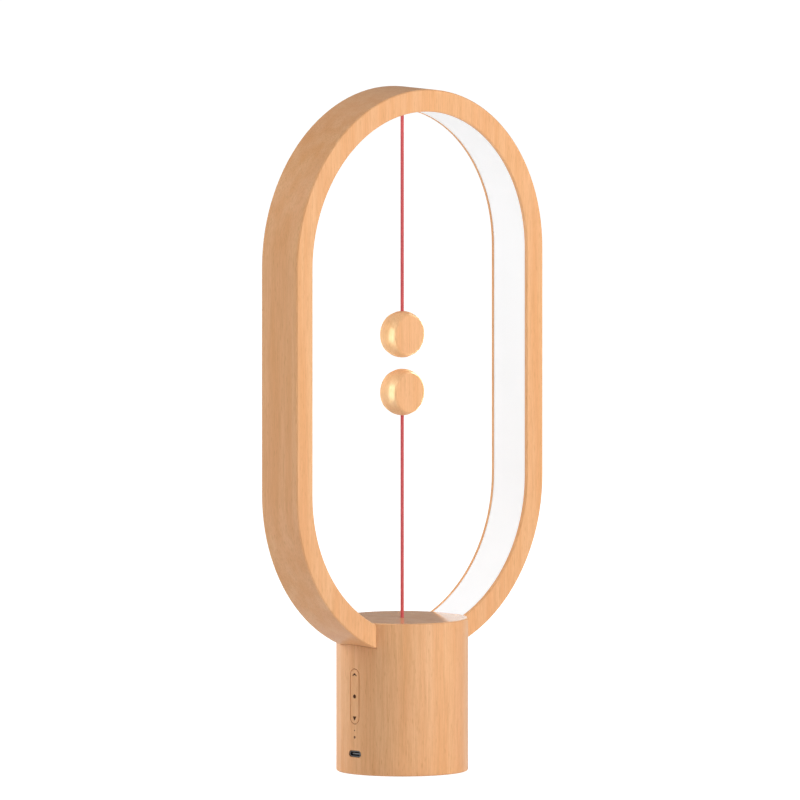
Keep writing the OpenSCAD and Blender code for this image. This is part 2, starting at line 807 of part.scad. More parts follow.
module wiring() {
    lead = 0.9;
    z = block_z;
    y = 12.5;
    // last points of a lead, over the top of the chassis wall to the board
    function to_board(y) =
        [for (p = [[4.6, -2], [2, -1.4], [0.8, -1.6]]) [p[0] - board_x, y, z + p[1]]];
    // points under an ear of the pull switch
    function under_ear(y) =
        [for (p = [[14, -7], [8, -8.3], [0, -8.8], [-8, -8.3], [-14, -6.6], [-20, -3.6]])
            [p[0], y, z + p[1]]];
    color("#303034") {
        // from the two contact leaves
        tube([[-14.3, 0, z - 9.8], [-16.5, 0, z - 9.6], [-19, 0, z - 7.6], [-21.5, 0, z - 3.6],
              each to_board(0)], lead);
        tube([[14.3, 0, z - 9.8], [15.6, 1.6, z - 9.4], [16.2, 5, z - 8.4], [16, 9.4, z - 7.4],
              each under_ear(y), each to_board(y)], lead);
        // from the battery
        tube([[cell_x, -y, shelf_z + shelf_t + cell[2] + 0.3], [cell_x - 0.5, -y, z - 4.6],
              [cell_x - 3, -y, z - 4.2], each under_ear(-y), each to_board(-y)], lead);
    }
}

base_body();
light_ring();
light_cover();
led_board();
led_chips();
led_leads();
cord_anchor();
upper_cord_tail();
cord_root(upper_bend_z);  // upper_cord_root
upper_cord();
in_ball(true) ball();  // upper_ball
in_ball(true) ball_plug();  // upper_plug
in_ball(true) ball_knot();  // upper_knot
in_ball(true) ball_magnet();  // upper_magnet
cord_root(lower_bend_z);  // lower_cord_root
lower_cord();
in_ball(false) ball();  // lower_ball
in_ball(false) ball_plug();  // lower_plug
in_ball(false) ball_knot();  // lower_knot
in_ball(false) ball_magnet();  // lower_magnet
cord_bush();
switch_housing();
housing_cap();
housing_screws();
contact_leaves();
return_spring();
pull_slider();
contact_ring();
pull_knot();
pull_cord();
key_cap();
key_cradle();
key_guide();
control_board();
board_parts();
key_switches();
board_screws();
usb_socket();
status_lens();
chassis();
battery_cell();
wiring();
ballast_plate();
bottom_cover();
tie_screws();
ring_screws();
foot_pad();
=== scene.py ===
"""Balance lamp: finishes, braided cords, key marks, socket contacts and stage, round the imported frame.

Metres, +Z up. The ring lies in the XZ plane, its front faces -Y, and the key is on the -X side.
"""

import math

import bmesh
import bpy
from bpy.props import FloatProperty, FloatVectorProperty, IntProperty, PointerProperty
from bpy.types import Operator, Panel, PropertyGroup
from mathutils import Matrix, Vector


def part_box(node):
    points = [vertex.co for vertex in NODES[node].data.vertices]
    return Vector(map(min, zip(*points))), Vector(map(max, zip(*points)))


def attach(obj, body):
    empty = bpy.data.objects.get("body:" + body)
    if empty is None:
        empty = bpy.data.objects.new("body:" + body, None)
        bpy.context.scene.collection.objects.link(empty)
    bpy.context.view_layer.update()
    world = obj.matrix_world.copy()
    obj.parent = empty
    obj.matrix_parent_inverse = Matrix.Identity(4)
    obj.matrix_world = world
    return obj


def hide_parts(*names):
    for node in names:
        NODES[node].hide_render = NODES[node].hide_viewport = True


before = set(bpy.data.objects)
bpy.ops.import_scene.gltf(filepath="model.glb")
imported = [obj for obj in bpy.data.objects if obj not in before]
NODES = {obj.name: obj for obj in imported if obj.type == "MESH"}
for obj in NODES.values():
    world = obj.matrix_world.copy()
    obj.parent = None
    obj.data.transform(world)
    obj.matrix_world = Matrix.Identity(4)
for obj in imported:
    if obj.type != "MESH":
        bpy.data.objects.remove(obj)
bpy.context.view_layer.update()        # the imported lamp: bodies, nodes, joints and record

bl_info = {
    "name": "Balance Lamp",
    "version": (1, 0, 0),
    "blender": (4, 5, 0),
    "location": "3D View > Sidebar > Lamp",
    "description": "Finishes a wooden balance lamp: lacquered beech, lit strip, braided cords and marks",
    "category": "Object",
}

MM = 0.001
BASE_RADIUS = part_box("base_body")[1].x
RING_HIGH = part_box("light_ring")[1]
COVER_LOW, COVER_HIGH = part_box("light_cover")
SOCKET_LOW, SOCKET_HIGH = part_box("usb_socket")
UPPER_BEND = sum(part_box("upper_cord_root"), Vector()) / 2       # the upper cord bends here, at the ring
LOWER_BEND = sum(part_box("lower_cord_root"), Vector()) / 2       # the lower cord bends here, at the base
ARC_Z = RING_HIGH.z - RING_HIGH.x       # middle of the ring's upper arc
NOSE_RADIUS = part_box("cord_anchor")[0].z - ARC_Z        # the cord's nose ends just inside the cover's face
STRAIGHT = 134 * MM         # length of the ring's straight sides
PLUG_GAP = 0.05 * MM        # glue gap round the plug of a ball
SHARP = math.radians(28)    # edges that turn more than this stay crisp


def hex_rgb(code):
    """An sRGB hex colour as linear red, green and blue."""
    parts = [int(code[i : i + 2], 16) / 255 for i in (1, 3, 5)]
    return tuple(c / 12.92 if c <= 0.04045 else ((c + 0.055) / 1.055) ** 2.4 for c in parts)


def rgba(code):
    """An sRGB hex colour as linear red, green and blue, with full opacity."""
    return (*hex_rgb(code), 1.0)


# ------------------------------------------------------------------ settings


class LampView(PropertyGroup):
    """Where the lamp is seen from"""

    azimuth: FloatProperty(
        name="Azimuth",
        description="Angle of the view round the lamp, from the front towards the key side",
        default=math.radians(43.75),
        subtype="ANGLE",
    )
    elevation: FloatProperty(
        name="Elevation",
        description="Height of the view above the horizon",
        default=math.radians(5.79),
        subtype="ANGLE",
    )
    span: FloatProperty(
        name="Span",
        description="Width and height of the square view at the lamp",
        default=469.87 * MM,
        unit="LENGTH",
    )
    middle: FloatVectorProperty(
        name="Middle",
        description="Point in the middle of the view: to the right, away and up from the point below",
        default=(-1.29 * MM, 0.0, 16.74 * MM),
        subtype="XYZ",
        unit="LENGTH",
    )
    about: FloatProperty(
        name="Height of the turning point",
        description="Height on the lamp's axis that the view turns about",
        default=(RING_HIGH.z + 1 * MM) / 2,
        unit="LENGTH",
    )


class LampLight(PropertyGroup):
    """Studio light, and the lamp's own light"""

    key: FloatProperty(
        name="Key light",
        description="Power of the large soft light in front of the ring",
        default=19.0,
        unit="POWER",
    )
    key_place: FloatVectorProperty(
        name="Key light position",
        description="Middle of the key light",
        default=(0.24, -1.5, 0.68),
        subtype="TRANSLATION",
        unit="LENGTH",
    )
    fill: FloatProperty(
        name="Fill light",
        description="Power of the soft light behind the key side",
        default=20.0,
        unit="POWER",
    )
    fill_place: FloatVectorProperty(
        name="Fill light position",
        description="Middle of the fill light",
        default=(-0.65, 1.32, 0.72),
        subtype="TRANSLATION",
        unit="LENGTH",
    )
    panel: FloatVectorProperty(
        name="Light panel",
        description="Width and height of the key light and the fill light",
        default=(1.1, 1.1),
        size=2,
        unit="LENGTH",
    )
    room: FloatVectorProperty(
        name="Room light",
        description="Light from the room at the horizon and straight above",
        default=(0.02, 0.41),
        size=2,
    )
    shine: FloatProperty(
        name="White in reflections",
        description="Share of the white background that shows in reflections",
        default=0.18,
    )
    floor: FloatVectorProperty(
        name="Floor glow",
        description="Light that the floor adds by itself for the view, and for the lamp's undersides",
        default=(0.9, 0.2),
        size=2,
    )
    strip: FloatVectorProperty(
        name="Strip light",
        description="Brightness of the strip where lacquer mirrors it: top arc, sides and lower arcs",
        default=(22.0, 46.0, 5.0),
        size=3,
    )
    strip_colour: FloatVectorProperty(
        name="Strip colour",
        description="Colour of the strip where lacquer mirrors it",
        default=hex_rgb("#FFFFD2"),
        subtype="COLOR",
    )
    cover_glow: FloatProperty(
        name="Cover glow",
        description="How strongly the milky cover shines by itself",
        default=0.3,
    )


class LampWood(PropertyGroup):
    """Colours of the beech"""

    pale: FloatVectorProperty(
        name="Pale wood",
        description="Colour of the early wood",
        default=hex_rgb("#F6BE8A"),
        subtype="COLOR",
    )
    warm: FloatVectorProperty(
        name="Warm wood",
        description="Colour of the late wood",
        default=hex_rgb("#EFAF76"),
        subtype="COLOR",
    )
    fleck: FloatVectorProperty(
        name="Flecks",
        description="Colour of the short ray flecks",
        default=hex_rgb("#D39459"),
        subtype="COLOR",
    )


class LampBalls(PropertyGroup):
    """Turned balls"""

    diameter: FloatProperty(
        name="Diameter",
        description="Diameter of the round before its flat faces are cut",
        default=27.4 * MM,
        unit="LENGTH",
    )
    bevel: FloatVectorProperty(
        name="Bevel",
        description="How far the long bevel of the side reaches inwards, and down from the short one",
        default=(1.3 * MM, 3.4 * MM),
        size=2,
        unit="LENGTH",
    )
    edge: FloatProperty(
        name="Edge bevel",
        description="Width of the short bevel at the flat face, across it and down",
        default=0.8 * MM,
        unit="LENGTH",
    )
    softness: FloatProperty(
        name="Softness",
        description="How far from an edge its rounding starts",
        default=0.4 * MM,
        unit="LENGTH",
    )


class LampCords(PropertyGroup):
    """Braided cords"""

    diameter: FloatProperty(
        name="Diameter",
        description="Diameter over the braid",
        default=2.0 * MM,
        unit="LENGTH",
    )
    yarns: IntProperty(
        name="Yarns each way",
        description="Number of flat yarns that wind each way; an even number closes the braid",
        default=4,
        min=2,
        step=2,
    )
    yarn: FloatVectorProperty(
        name="Yarn",
        description="Width and thickness of a flat yarn",
        default=(1.0 * MM, 0.17 * MM),
        size=2,
        unit="LENGTH",
    )
    turn: FloatProperty(
        name="Turn",
        description="Length of cord in which a yarn goes round once",
        default=5.2 * MM,
        unit="LENGTH",
    )
    colour: FloatVectorProperty(
        name="Colour",
        description="Colour of the polyester yarn",
        default=hex_rgb("#EC6266"),
        subtype="COLOR",
    )


class LampMarks(PropertyGroup):
    """Burnt-in marks of the key"""

    dot: FloatProperty(
        name="Dot",
        description="Diameter of the middle mark",
        default=2.4 * MM,
        unit="LENGTH",
    )
    arrow_up: FloatVectorProperty(
        name="Upper arrow",
        description="Width and height of the upper mark",
        default=(3.6 * MM, 1.6 * MM),
        size=2,
        unit="LENGTH",
    )
    arrow_down: FloatVectorProperty(
        name="Lower arrow",
        description="Width and height of the lower mark",
        default=(2.8 * MM, 2.3 * MM),
        size=2,
        unit="LENGTH",
    )
    pitch: FloatProperty(
        name="Pitch",
        description="Distance from the middle mark to the others",
        default=12.9 * MM,
        unit="LENGTH",
    )


class LampSocket(PropertyGroup):
    """Contacts of the charging socket"""

    count: IntProperty(
        name="Contacts",
        description="Number of contacts on each face of the tongue",
        default=12,
        min=2,
    )
    pitch: FloatProperty(
        name="Pitch",
        description="Distance between two contacts",
        default=0.5 * MM,
        unit="LENGTH",
    )
    pad: FloatVectorProperty(
        name="Pad",
        description="Length, width and thickness of a contact",
        default=(3.2 * MM, 0.27 * MM, 0.04 * MM),
        subtype="XYZ",
        unit="LENGTH",
    )


# ------------------------------------------------------------------ node helpers


def add(tree, kind, inputs=None, **settings):
    """Adds a node, sets its properties and inputs, and links an input that is given a socket."""
    made = tree.nodes.new(kind)
    for key, value in settings.items():
        setattr(made, key, value)
    for key, value in (inputs or {}).items():
        if isinstance(value, bpy.types.NodeSocket):
            tree.links.new(value, made.inputs[key])
        else:
            made.inputs[key].default_value = value
    return made


def output(tree, kind, inputs=None, **settings):
    """Adds a node and returns its first output."""
    return add(tree, kind, inputs, **settings).outputs[0]


def math_node(tree, operation, first, second=0.0):
    """A sum, product or other calculation with one or two values."""
    return output(tree, "ShaderNodeMath", {0: first, 1: second}, operation=operation)


def xyz(tree, **parts):
    """A vector from its X, Y and Z; a part that isn't given is 0."""
    return output(tree, "ShaderNodeCombineXYZ", parts)


def finish_of(name):
    """A new material with its tree and its surface shader."""
    material = bpy.data.materials.new(name)
    material.use_nodes = True
    tree = material.node_tree
    return material, tree, tree.nodes["Principled BSDF"]


def object_mm(tree, offset=(0, 0, 0), stretch=(1, 1, 1)):
    """Object coordinates in millimetres, divided by a stretch along each axis."""
    place = add(tree, "ShaderNodeTexCoord").outputs["Object"]
    scale = [1 / MM / s for s in stretch]
    settings = {"Vector": place, "Location": offset, "Scale": scale}
    return add(tree, "ShaderNodeMapping", settings).outputs["Vector"]


def noise(tree, vector, size=1.0, detail=2.0):
    """Soft noise from 0 to 1 with features about as wide as the given size."""
    settings = {"Vector": vector, "Scale": 1 / size, "Detail": detail}
    return add(tree, "ShaderNodeTexNoise", settings).outputs["Fac"]


def between(tree, value, low, high, to_low=0.0, to_high=1.0):
    """A value mapped from one range to another, and held at its ends."""
    settings = {"Value": value, "From Min": low, "From Max": high, "To Min": to_low, "To Max": to_high}
    return add(tree, "ShaderNodeMapRange", settings).outputs["Result"]


def mixed(tree, share, first, second):
    """A colour between two colours; each is a socket or red, green, blue and alpha."""
    node = add(tree, "ShaderNodeMix", {0: share, 6: first, 7: second}, data_type="RGBA")
    return node.outputs[2]


def bump(tree, shader, height, depth_mm):
    """Gives a shader a relief of the given depth."""
    settings = {"Height": height, "Distance": depth_mm * MM, "Strength": 1.0}
    tree.links.new(add(tree, "ShaderNodeBump", settings).outputs["Normal"], shader.inputs["Normal"])


# ------------------------------------------------------------------ materials


def lacquered_beech(name, wood, offset=(0, 0, 0), roughness=0.34, polish=0.0, polished_top=False):
    """Steamed beech, sanded along the grain and sprayed with a satin lacquer.

    The eye gets an even pinkish tan with fine upright fibres, short darker ray flecks and, from the
    lacquer, a soft sheen that turns pale at a grazing angle. Fibres and flecks are drawn two to three
    times as coarse as in real beech, so that they show. Polish is the share of a glossier top coat, and
    a polished top is rubbed to a gloss where the wood faces up.
    """
    material, tree, shader = finish_of(name)
    figure = noise(tree, object_mm(tree, offset, (7, 7, 190)), detail=2)
    cloud = noise(tree, object_mm(tree, offset, (30, 30, 60)), detail=1)
    fibre = noise(tree, object_mm(tree, offset, (0.8, 0.8, 22)), detail=3)
    pores = noise(tree, object_mm(tree, offset, (0.35, 0.35, 3.5)), detail=2)
    ray = {"Vector": object_mm(tree, offset, (1.9, 1.9, 10)), "Scale": 1.0}
    ray_distance = add(tree, "ShaderNodeTexVoronoi", ray).outputs["Distance"]
    tone = mixed(tree, between(tree, figure, 0.35, 0.65), (*wood.pale, 1), (*wood.warm, 1))
    tone = mixed(tree, between(tree, cloud, 0.3, 0.7, 0, 0.3), tone, rgba("#F0B183"))
    tone = mixed(tree, between(tree, fibre, 0.42, 0.7, 0, 0.36), tone, (*wood.fleck, 1))
    tone = mixed(tree, between(tree, pores, 0.5, 0.75, 0, 0.34), tone, (*wood.fleck, 1))
    tone = mixed(tree, between(tree, ray_distance, 0.08, 0.22, 0.45, 0), tone, (*wood.fleck, 1))
    tree.links.new(tone, shader.inputs["Base Color"])
    rough = between(tree, fibre, 0.3, 0.7, roughness - 0.04, roughness + 0.04)
    if polished_top:
        facing = add(tree, "ShaderNodeNewGeometry").outputs["True Normal"]
        upward = add(tree, "ShaderNodeSeparateXYZ", {0: facing}).outputs["Z"]
        shares = {"Value": upward, "From Min": 0.9, "From Max": 1.0, "To Min": rough, "To Max": 0.1}
        rough = add(tree, "ShaderNodeMapRange", shares).outputs["Result"]
    tree.links.new(rough, shader.inputs["Roughness"])
    shader.inputs["IOR"].default_value = 1.5
    shader.inputs["Coat Weight"].default_value = polish
    shader.inputs["Coat Roughness"].default_value = 0.13
    relief = 0.001 if polish else 0.01
    bump(tree, shader, fibre, relief)
    return material


def opal_cover(lamp):
    """Extruded opal silicone, lit from behind: a milky white with no edge to the glow."""
    material, tree, shader = finish_of("Opal silicone, lit")
    mist = noise(tree, object_mm(tree), size=14, detail=1)
    tree.links.new(mixed(tree, mist, rgba("#E9E9E8"), rgba("#EFEFEF")), shader.inputs["Base Color"])
    shader.inputs["Roughness"].default_value = 0.55
    shader.inputs["IOR"].default_value = 1.41
    shader.inputs["Emission Color"].default_value = rgba("#F6FAFF")
    shader.inputs["Emission Strength"].default_value = lamp.cover_glow
    return material


def braided_polyester(cords):
    """Dyed polyester filament, braided: a red with a silky sheen along each flat yarn."""
    material, tree, shader = finish_of("Polyester braid, red")
    filament = noise(tree, object_mm(tree, stretch=(0.12, 0.12, 1.2)), detail=2)
    deep = tuple(c * 0.72 for c in cords.colour)
    tone = mixed(tree, between(tree, filament, 0.35, 0.65), (*deep, 1), (*cords.colour, 1))
    tree.links.new(tone, shader.inputs["Base Color"])
    shader.inputs["Roughness"].default_value = 0.62
    shader.inputs["Sheen Weight"].default_value = 0.25
    shader.inputs["Sheen Roughness"].default_value = 0.4
    bump(tree, shader, filament, 0.03)
    return material


def burnt_mark():
    """A laser-burnt mark: matt, brown at its edge and nearly black where it is deepest."""
    material, tree, shader = finish_of("Laser-burnt beech")
    char = noise(tree, object_mm(tree, stretch=(0.3, 0.3, 0.9)), detail=3)
    tone = mixed(tree, between(tree, char, 0.35, 0.65), rgba("#3A1D0C"), rgba("#5E3417"))
    tree.links.new(tone, shader.inputs["Base Color"])
    shader.inputs["Roughness"].default_value = 0.85
    bump(tree, shader, char, 0.03)
    return material


def moulded_plastic(name, dark, light, roughness, grit=0.35, depth=0.012):
    """A moulded plastic, rubber or cast layer with a fine even grain, as a spark-eroded mould leaves."""
    material, tree, shader = finish_of(name)
    texture = noise(tree, object_mm(tree), size=grit, detail=2)
    flow = noise(tree, object_mm(tree), size=18, detail=1)
    tree.links.new(mixed(tree, flow, rgba(dark), rgba(light)), shader.inputs["Base Color"])
    rough = between(tree, texture, 0.3, 0.7, roughness - 0.05, roughness + 0.05)
    tree.links.new(rough, shader.inputs["Roughness"])
    shader.inputs["IOR"].default_value = 1.53
    bump(tree, shader, texture, depth)
    return material


def worked_metal(name, dark, light, roughness, stretch=(0.4, 0.4, 0.4), depth=0.006):
    """A bare or plated metal with the fine marks that turning, rolling or drawing leaves."""
    material, tree, shader = finish_of(name)
    marks = noise(tree, object_mm(tree, stretch=stretch), detail=3)
    tree.links.new(mixed(tree, marks, rgba(dark), rgba(light)), shader.inputs["Base Color"])
    shader.inputs["Metallic"].default_value = 1.0
    rough = between(tree, marks, 0.3, 0.7, roughness - 0.06, roughness + 0.06)
    tree.links.new(rough, shader.inputs["Roughness"])
    bump(tree, shader, marks, depth)
    return material


def pressed_felt():
    """Needled wool felt: a matt warm grey with lighter stray fibres."""
    material, tree, shader = finish_of("Wool felt, grey")
    fibres = noise(tree, object_mm(tree), size=0.5, detail=5)
    tone = mixed(tree, between(tree, fibres, 0.35, 0.65), rgba("#4A4640"), rgba("#7A746B"))
    tree.links.new(tone, shader.inputs["Base Color"])
    shader.inputs["Roughness"].default_value = 0.95
    shader.inputs["Sheen Weight"].default_value = 0.3
    bump(tree, shader, fibres, 0.15)
    return material


def crinkled_foil():
    """The laminated foil pouch of a cell: dull aluminium with a soft crinkle."""
    material, tree, shader = finish_of("Laminated aluminium foil")
    crinkle = noise(tree, object_mm(tree, stretch=(3, 3, 5)), detail=3)
    tree.links.new(mixed(tree, crinkle, rgba("#8FA0B0"), rgba("#C2CCD4")), shader.inputs["Base Color"])
    shader.inputs["Metallic"].default_value = 0.9
    shader.inputs["Roughness"].default_value = 0.42
    bump(tree, shader, crinkle, 0.2)
    return material


# ------------------------------------------------------------------ pieces


def put(name, data):
    """A new object in the scene."""
    made = bpy.data.objects.new(name, data)
    bpy.context.scene.collection.objects.link(made)
    return made


def mesh_of(bm, name):
    """A mesh from a bmesh, which is freed."""
    mesh = bpy.data.meshes.new(name)
    bm.to_mesh(mesh)
    bm.free()
    return mesh


def applied(carrier):
    """The mesh that an object shows through its modifiers, which are then removed."""
    evaluated = carrier.evaluated_get(bpy.context.evaluated_depsgraph_get())
    mesh = bpy.data.meshes.new_from_object(evaluated)
    carrier.modifiers.clear()
    return mesh


def give(material, *names):
    """Gives CAD nodes a material, in every slot."""
    for name in names:
        slots = NODES[name].material_slots
        for slot in slots:
            slot.link = "OBJECT"
            slot.material = material
        if not slots:
            NODES[name].data.materials.append(material)


def piece_of(name, mesh, body, slot, *replaced):
    """Links a finished mesh as a piece that rides on a body."""
    made = put(name, mesh)
    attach(made, body)
    if replaced:
        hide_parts(*replaced)
    return made


# ------------------------------------------------------------------ geometry trees


def geometry_tree(name, **inputs):
    """A tree that makes geometry, and its input sockets; each keyword is a kind of input and its names."""
    tree = bpy.data.node_groups.new(name, "GeometryNodeTree")
    for kind, names in inputs.items():
        for label in names:
            tree.interface.new_socket(name=label, in_out="INPUT", socket_type="NodeSocket" + kind)
    tree.interface.new_socket(name="Geometry", in_out="OUTPUT", socket_type="NodeSocketGeometry")
    return tree, add(tree, "NodeGroupInput").outputs


def upright_line(tree, given):
    """A line on the cord's axis, from its low end to its high end."""
    ends = {"Start": xyz(tree, Z=given["Low"]), "End": xyz(tree, Z=given["High"])}
    return output(tree, "GeometryNodeCurvePrimitiveLine", ends)


def joined_parts(tree, parts):
    """Parts joined into one plain mesh."""
    joined = add(tree, "GeometryNodeJoinGeometry")
    for part in parts:
        tree.links.new(part, joined.inputs[0])
    return output(tree, "GeometryNodeRealizeInstances", {"Geometry": joined.outputs[0]})


def end_tree(tree, geometry, material):
    """Gives geometry its material and makes it the tree's result."""
    finished = output(tree, "GeometryNodeSetMaterial", {"Geometry": geometry, "Material": material})
    tree.links.new(finished, add(tree, "NodeGroupOutput").inputs[0])


def grown(tree, values, name):
    """Runs a geometry tree with its inputs set by name and returns the result as a plain mesh."""
    carrier = put(name, bpy.data.meshes.new(name + "_seed"))
    modifier = carrier.modifiers.new(name, "NODES")
    modifier.node_group = tree
    for item in tree.interface.items_tree:
        if item.item_type == "SOCKET" and item.in_out == "INPUT" and item.name in values:
            modifier[item.identifier] = values[item.name]
    mesh = applied(carrier)
    mesh.name = name
    bpy.data.objects.remove(carrier)
    return mesh


def braid_way(tree, given, sense):
    """The yarns that wind one way: each a flat ribbon on a helix that dips under every other crossing."""
    fine = {"Curve": upright_line(tree, given), "Length": given["Step"]}
    spaced = output(tree, "GeometryNodeResampleCurve", fine, mode="LENGTH")
    place = output(tree, "GeometryNodeInputPosition")
    height = add(tree, "ShaderNodeSeparateXYZ", {0: place}).outputs["Z"]
    turned = math_node(tree, "DIVIDE", height, given["Turn"])
    angle = math_node(tree, "MULTIPLY", turned, sense * math.tau)
    wave = math_node(tree, "COSINE", math_node(tree, "MULTIPLY", angle, given["Yarns"]))
    lift = math_node(tree, "MULTIPLY", wave, math_node(tree, "MULTIPLY", given["Thickness"], sense * 0.5))
    middle = math_node(tree, "SUBTRACT", given["Radius"], given["Thickness"])
    out = math_node(tree, "ADD", middle, lift)
    x = math_node(tree, "MULTIPLY", out, math_node(tree, "COSINE", angle))
    y = math_node(tree, "MULTIPLY", out, math_node(tree, "SINE", angle))
    moved = {"Geometry": spaced, "Position": xyz(tree, X=x, Y=y, Z=height)}
    wound = output(tree, "GeometryNodeSetPosition", moved)
    upright = output(tree, "GeometryNodeSetCurveNormal", {"Curve": wound}, mode="Z_UP")
    circle = output(tree, "GeometryNodeCurvePrimitiveCircle", {"Resolution": 6, "Radius": 0.5})
    flat = {"Geometry": circle, "Scale": xyz(tree, X=given["Thickness"], Y=given["Width"], Z=1.0)}
    ribbon = output(tree, "GeometryNodeTransform", flat)
    sweep = {"Curve": upright, "Profile Curve": ribbon, "Fill Caps": True}
    yarn = output(tree, "GeometryNodeCurveToMesh", sweep)
    spots = output(tree, "GeometryNodePoints", {"Count": given["Yarns"]})
    share = math_node(tree, "DIVIDE", output(tree, "GeometryNodeInputIndex"), given["Yarns"])
    spin = xyz(tree, Z=math_node(tree, "MULTIPLY", share, math.tau))
    copies = {"Points": spots, "Instance": yarn, "Rotation": spin}
    return output(tree, "GeometryNodeInstanceOnPoints", copies)


def braid_tree():
    """A geometry tree for an upright braided cord: flat yarns both ways round a plain core."""
    sizes = ("Low", "High", "Radius", "Turn", "Width", "Thickness", "Step")
    tree, given = geometry_tree("Upright braid", Float=sizes, Int=["Yarns"], Material=["Material"])
    core_radius = math_node(tree, "SUBTRACT", given["Radius"], given["Thickness"])
    circle = output(tree, "GeometryNodeCurvePrimitiveCircle", {"Resolution": 12, "Radius": core_radius})
    sweep = {"Curve": upright_line(tree, given), "Profile Curve": circle, "Fill Caps": True}
    core = output(tree, "GeometryNodeCurveToMesh", sweep)
    braid = joined_parts(tree, [core, braid_way(tree, given, 1), braid_way(tree, given, -1)])
    smooth = output(tree, "GeometryNodeSetShadeSmooth", {"Geometry": braid})
    end_tree(tree, smooth, given["Material"])
    return tree


def contact_tree():
    """A geometry tree for the rows of contacts on both faces of a socket's tongue."""
    kinds = {"Int": ["Count"], "Float": ["Pitch", "Spread"], "Vector": ["Pad", "Middle"]}
    tree, given = geometry_tree("Contact rows", **kinds, Material=["Material"])
    pad = output(tree, "GeometryNodeMeshCube", {"Size": given["Pad"]})
    last = math_node(tree, "SUBTRACT", given["Count"], 1.0)
    first_y = math_node(tree, "MULTIPLY", math_node(tree, "MULTIPLY", last, given["Pitch"]), -0.5)
    step = xyz(tree, Y=given["Pitch"])
    rows = []
    for side in (-0.5, 0.5):
        start = xyz(tree, Y=first_y, Z=math_node(tree, "MULTIPLY", given["Spread"], side))
        placed = output(tree, "ShaderNodeVectorMath", {0: start, 1: given["Middle"]}, operation="ADD")
        line = {"Count": given["Count"], "Start Location": placed, "Offset": step}
        row = output(tree, "GeometryNodeMeshLine", line)
        rows.append(output(tree, "GeometryNodeInstanceOnPoints", {"Points": row, "Instance": pad}))
    end_tree(tree, joined_parts(tree, rows), given["Material"])
    return tree


# ------------------------------------------------------------------ meshes


def disc_outline(radius, sides=28):
    """Corners of a flat disc."""
    turns = [math.tau * i / sides for i in range(sides)]
    return [(radius * math.cos(a), radius * math.sin(a)) for a in turns]


def arrow_outline(width, height, sense):
    """A small triangle that points up or down, with blunt corners."""
    half, foot, tip = width / 2, -sense * height / 2, sense * height / 2
    blunt = 0.2     # the tip keeps this share of the width, each foot corner this share of half the height
    return [(-half, foot), (half, foot), (half, foot * (1 - blunt)),
            (half * blunt, tip), (-half * blunt, tip), (-half, foot * (1 - blunt))]


def stamp(bm, outline, middle_z, radius, depth):
    """Adds a thin plate, bent to an upright cylinder about the lamp's axis on the -X side."""
    def row(r):
        return [bm.verts.new((-math.sqrt(r * r - y * y), y, middle_z + z)) for y, z in outline]

    outer, inner = row(radius), row(radius - depth)
    bm.faces.new(outer)
    bm.faces.new(inner[::-1])
    for i in range(len(outer)):
        j = (i + 1) % len(outer)
        bm.faces.new((outer[j], outer[i], inner[i], inner[j]))


def softened(corners, reach, steps=4):
    """A line through corners, with each inner corner rounded from the given reach before it."""
    line = [corners[0]]
    for before, corner, after in zip(corners, corners[1:], corners[2:]):
        start = corner + (before - corner).normalized() * reach
        end = corner + (after - corner).normalized() * reach
        for i in range(steps + 1):
            t = i / steps
            line.append(start.lerp(corner, t).lerp(corner.lerp(end, t), t))
    return line + [corners[-1]]


def ball_outline(half, balls, steps=5):
    """Half section of a ball with two flat faces, from face to face: distance from its axis, and along it."""
    radius = balls.diameter / 2
    across, down = balls.bevel
    edge_z = half - balls.edge
    side_z = edge_z - down
    side_r = math.sqrt(radius ** 2 - side_z ** 2)
    tilts = [math.asin(side_z / radius) * (1 - i / steps) for i in range(1, steps + 1)]
    arc = [Vector((math.cos(a), math.sin(a))) * radius for a in tilts]
    edge_r = side_r - across
    corners = [(0, half), (edge_r - balls.edge, half), (edge_r, edge_z), (side_r, side_z), arc[0]]
    corners = [Vector(c) for c in corners]
    top = softened(corners, balls.softness) + arc[1:]
    return top + [Vector((p.x, -p.y)) for p in reversed(top[:-1])]


def turned_mesh(outline, place, sides=120):
    """A closed solid turned about the Z axis from points of radius and height, then put in its place."""
    bm = bmesh.new()
    rings = []
    for radius, height in outline:
        count = sides if radius > 0 else 1
        turns = [math.tau * i / sides for i in range(count)]
        rings.append([bm.verts.new((radius * math.cos(a), radius * math.sin(a), height)) for a in turns])
    for low, high in zip(rings, rings[1:]):
        for i in range(sides):
            j = i + 1
            corners = (low[i % len(low)], low[j % len(low)], high[j % len(high)], high[i % len(high)])
            bm.faces.new(list(dict.fromkeys(corners)))
    bmesh.ops.transform(bm, matrix=place, verts=bm.verts)
    bmesh.ops.recalc_face_normals(bm, faces=bm.faces)
    return mesh_of(bm, "turned")


def cut(mesh, tool):
    """A mesh with another taken out of it, shaded smooth except at its sharp edges."""
    body, cutter = put("cut", mesh), put("cut", tool)
    modifier = body.modifiers.new("cut", "BOOLEAN")
    modifier.object = cutter
    result = applied(body)
    for part in (body, cutter):
        bpy.data.objects.remove(part)
    result.shade_smooth()
    result.set_sharp_from_angle(angle=SHARP)
    return result


# ------------------------------------------------------------------ stage


def seen_rays(tree, reflected):
    """1 on rays from the camera and through glass, and the given share on rays off a gloss."""
    path = add(tree, "ShaderNodeLightPath").outputs
    gloss = math_node(tree, "MULTIPLY", path["Is Glossy Ray"], reflected)
    clear = math_node(tree, "MAXIMUM", path["Is Camera Ray"], path["Is Transmission Ray"])
    return math_node(tree, "MAXIMUM", clear, gloss)


